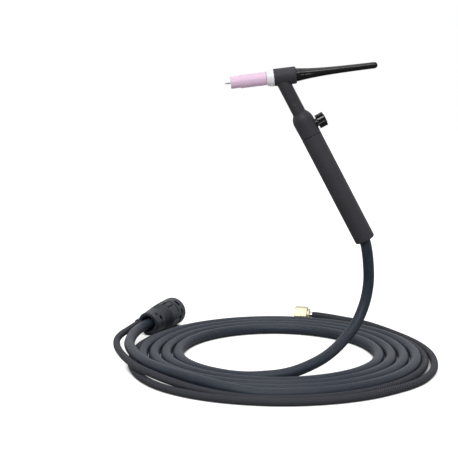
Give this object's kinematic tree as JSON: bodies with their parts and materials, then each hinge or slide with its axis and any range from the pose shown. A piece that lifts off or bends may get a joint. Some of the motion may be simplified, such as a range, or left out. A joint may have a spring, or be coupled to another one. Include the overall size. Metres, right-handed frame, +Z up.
{
  "type": "tig torch",
  "caption": "Gas-cooled TIG torch with a gas valve in its handle, a coiled power cable with a bayonet plug, and a gas hose with a union nut.",
  "frame": {"origin": "middle of the grip, on the handle's axis", "axes": "+Z up, +X from the electrode to the back cap in the torch's plane of symmetry, +Y away from the viewer"},
  "size_m": [0.4312, 0.4428, 0.3917],
  "materials": {
    "moulded_black": "moulded phenolic, charcoal black, finely textured",
    "gloss_black": "polished black phenolic",
    "cup_ceramic": "pink alumina, unglazed",
    "gasket_plastic": "white PTFE",
    "tungsten": "ground tungsten",
    "brass": "turned brass",
    "copper": "bare copper",
    "steel": "plated steel",
    "seal_rubber": "smooth nitrile",
    "cable_rubber": "cloth-wrapped rubber sheath, dark slate",
    "hose_braid": "black braided cover",
    "boot_rubber": "moulded rubber, dark blue-grey"
  },
  "bodies": {
    "torch": {"cup_gasket": "gasket_plastic", "collet_body": "copper", "collet": "copper", "head_core": "brass", "head_jacket": "moulded_black", "neck_tube": "copper", "handle_front": "moulded_black", "handle_grip": "moulded_black", "valve_body": "brass", "gland_nut": "gloss_black", "cable_union_nut": "brass", "cable_tail": "brass", "cable_ferrule": "copper", "cable_in_handle": "cable_rubber", "power_cable_drop": "cable_rubber", "power_cable_coil": "cable_rubber", "power_cable_end": "cable_rubber", "connector_boot": "boot_rubber", "plug_pin": "brass", "plug_block": "brass", "plug_set_screws": "steel", "cable_core": "copper", "cable_in_plug": "cable_rubber", "gas_spigot": "brass", "gas_hose_in_plug": "hose_braid", "gas_hose_lead": "hose_braid", "gas_hose_coil": "hose_braid", "gas_hose_tail": "hose_braid", "gas_tail": "steel"},
    "electrode": {"electrode": "tungsten"},
    "cup": {"ceramic_cup": "cup_ceramic"},
    "cap_travel": {"back_cap_oring": "seal_rubber"},
    "cap": {"back_cap": "gloss_black"},
    "spindle_travel": {"spindle_oring": "seal_rubber"},
    "knob": {"valve_spindle": "steel", "valve_knob": "gloss_black", "knob_screw": "steel"},
    "gas_nut": {"gas_nut": "brass"}
  },
  "joints": [
    {"name": "electrode_feed", "type": "slide", "parent": "torch", "child": "electrode", "axis": [-0.9925, 0, -0.1219], "range_m": [-0.006, 0.01]},
    {"name": "cup_removal", "type": "slide", "parent": "torch", "child": "cup", "axis": [-0.9925, 0, -0.1219], "range_m": [0, 0.012]},
    {"name": "cap_lift", "type": "slide", "parent": "torch", "child": "cap_travel", "axis": [0.9925, 0, 0.1219], "range_m": [0, 0.004]},
    {"name": "cap_turn", "type": "hinge", "parent": "cap_travel", "child": "cap", "pos_m": [-0.07605, 0, 0.14304], "axis": [0.9925, 0, 0.1219], "range_deg": [0, 1440]},
    {"name": "valve_lift", "type": "slide", "parent": "torch", "child": "spindle_travel", "axis": [0.8829, 0, 0.4695], "range_m": [0, 0.001]},
    {"name": "valve_turn", "type": "hinge", "parent": "spindle_travel", "child": "knob", "pos_m": [-0.04225, 0, 0.07946], "axis": [0.8829, 0, 0.4695], "range_deg": [0, 450]},
    {"name": "gas_nut_spin", "type": "hinge", "parent": "torch", "child": "gas_nut", "pos_m": [-0.029, 0.252, -0.219], "axis": [-0.9781, 0.2079, 0], "continuous": true}
  ],
  "couplings": [
    {"joint": "cap_lift", "follows": "cap_turn", "m_per_rad": 0.00015915},
    {"joint": "valve_lift", "follows": "valve_turn", "m_per_rad": 0.00012732}
  ]
}
